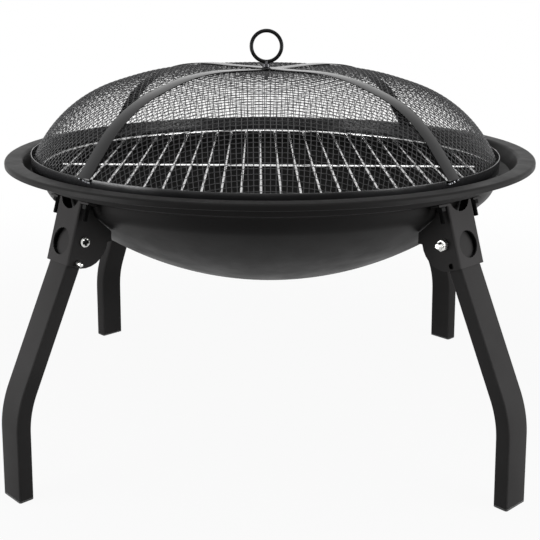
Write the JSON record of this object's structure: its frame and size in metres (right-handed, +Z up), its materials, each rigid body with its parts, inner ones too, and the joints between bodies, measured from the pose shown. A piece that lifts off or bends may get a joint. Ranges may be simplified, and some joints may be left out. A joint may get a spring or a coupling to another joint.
{
  "type": "folding fire pit",
  "caption": "Round steel wood-burning fire pit: pressed dish on folding bent legs with lock buttons, wire grate and a domed net spark screen with a ring handle.",
  "frame": {"origin": "on the ground, under the middle of the dish", "axes": "+Z up, front is -Y, legs at 45 degrees to X and Y"},
  "size_m": [0.56, 0.56, 0.4282],
  "materials": {
    "black": "semi-matt heat-resistant black paint",
    "wire": "black painted woven wire",
    "zinc": "bright zinc plate",
    "chrome": "bright chrome plate",
    "spring": "plain spring steel",
    "plastic": "moulded black plastic"
  },
  "bodies": {
    "dish": {"fire_bowl": "black", "front_left_bracket": "black", "front_left_pivot_bolt": "zinc", "front_left_pivot_nut": "zinc", "front_left_bracket_bolt_1": "zinc", "front_left_bracket_bolt_2": "zinc", "front_left_bracket_nut_1": "zinc", "front_left_bracket_nut_2": "zinc", "front_right_bracket": "black", "front_right_pivot_bolt": "zinc", "front_right_pivot_nut": "zinc", "front_right_bracket_bolt_1": "zinc", "front_right_bracket_bolt_2": "zinc", "front_right_bracket_nut_1": "zinc", "front_right_bracket_nut_2": "zinc", "rear_right_bracket": "black", "rear_right_pivot_bolt": "zinc", "rear_right_pivot_nut": "zinc", "rear_right_bracket_bolt_1": "zinc", "rear_right_bracket_bolt_2": "zinc", "rear_right_bracket_nut_1": "zinc", "rear_right_bracket_nut_2": "zinc", "rear_left_bracket": "black", "rear_left_pivot_bolt": "zinc", "rear_left_pivot_nut": "zinc", "rear_left_bracket_bolt_1": "zinc", "rear_left_bracket_bolt_2": "zinc", "rear_left_bracket_nut_1": "zinc", "rear_left_bracket_nut_2": "zinc"},
    "grate": {"cooking_grate": "chrome"},
    "screen": {"screen_band": "black", "screen_mesh": "wire", "screen_strap_lower": "black", "screen_strap_upper": "black", "ring_handle": "black", "handle_washer": "zinc", "handle_nut": "zinc"},
    "front_left_leg_assembly": {"front_left_leg": "black", "front_left_foot_cap": "plastic", "front_left_lock_spring": "spring"},
    "front_left_button": {"front_left_lock_button": "zinc"},
    "front_right_leg_assembly": {"front_right_leg": "black", "front_right_foot_cap": "plastic", "front_right_lock_spring": "spring"},
    "front_right_button": {"front_right_lock_button": "zinc"},
    "rear_right_leg_assembly": {"rear_right_leg": "black", "rear_right_foot_cap": "plastic", "rear_right_lock_spring": "spring"},
    "rear_right_button": {"rear_right_lock_button": "zinc"},
    "rear_left_leg_assembly": {"rear_left_leg": "black", "rear_left_foot_cap": "plastic", "rear_left_lock_spring": "spring"},
    "rear_left_button": {"rear_left_lock_button": "zinc"}
  },
  "joints": [
    {"name": "grate_lift", "type": "slide", "parent": "dish", "child": "grate", "axis": [0, 0, 1], "range_m": [0, 0.25]},
    {"name": "screen_lift", "type": "slide", "parent": "grate", "child": "screen", "axis": [0, 0, 1], "range_m": [0, 0.25]},
    {"name": "front_left_leg_fold", "type": "hinge", "parent": "dish", "child": "front_left_leg_assembly", "pos_m": [-0.17819, -0.17819, 0.24], "axis": [0.7071, -0.7071, 0], "range_deg": [0, 84], "deforming": ["front_left_lock_button", "front_left_lock_spring"]},
    {"name": "front_left_lock_press", "type": "slide", "parent": "front_left_leg_assembly", "child": "front_left_button", "axis": [-0.7071, 0.7071, 0], "range_m": [0, 0.0108], "stiffness_N_per_m": 900, "springref_m": -0.004, "deforming": ["front_left_lock_spring"]},
    {"name": "front_right_leg_fold", "type": "hinge", "parent": "dish", "child": "front_right_leg_assembly", "pos_m": [0.17819, -0.17819, 0.24], "axis": [0.7071, 0.7071, 0], "range_deg": [0, 84], "deforming": ["front_right_lock_button", "front_right_lock_spring"]},
    {"name": "front_right_lock_press", "type": "slide", "parent": "front_right_leg_assembly", "child": "front_right_button", "axis": [-0.7071, -0.7071, 0], "range_m": [0, 0.0108], "stiffness_N_per_m": 900, "springref_m": -0.004, "deforming": ["front_right_lock_spring"]},
    {"name": "rear_right_leg_fold", "type": "hinge", "parent": "dish", "child": "rear_right_leg_assembly", "pos_m": [0.17819, 0.17819, 0.24], "axis": [-0.7071, 0.7071, 0], "range_deg": [0, 84], "deforming": ["rear_right_lock_button", "rear_right_lock_spring"]},
    {"name": "rear_right_lock_press", "type": "slide", "parent": "rear_right_leg_assembly", "child": "rear_right_button", "axis": [0.7071, -0.7071, 0], "range_m": [0, 0.0108], "stiffness_N_per_m": 900, "springref_m": -0.004, "deforming": ["rear_right_lock_spring"]},
    {"name": "rear_left_leg_fold", "type": "hinge", "parent": "dish", "child": "rear_left_leg_assembly", "pos_m": [-0.17819, 0.17819, 0.24], "axis": [-0.7071, -0.7071, 0], "range_deg": [0, 84], "deforming": ["rear_left_lock_button", "rear_left_lock_spring"]},
    {"name": "rear_left_lock_press", "type": "slide", "parent": "rear_left_leg_assembly", "child": "rear_left_button", "axis": [0.7071, 0.7071, 0], "range_m": [0, 0.0108], "stiffness_N_per_m": 900, "springref_m": -0.004, "deforming": ["rear_left_lock_spring"]}
  ]
}
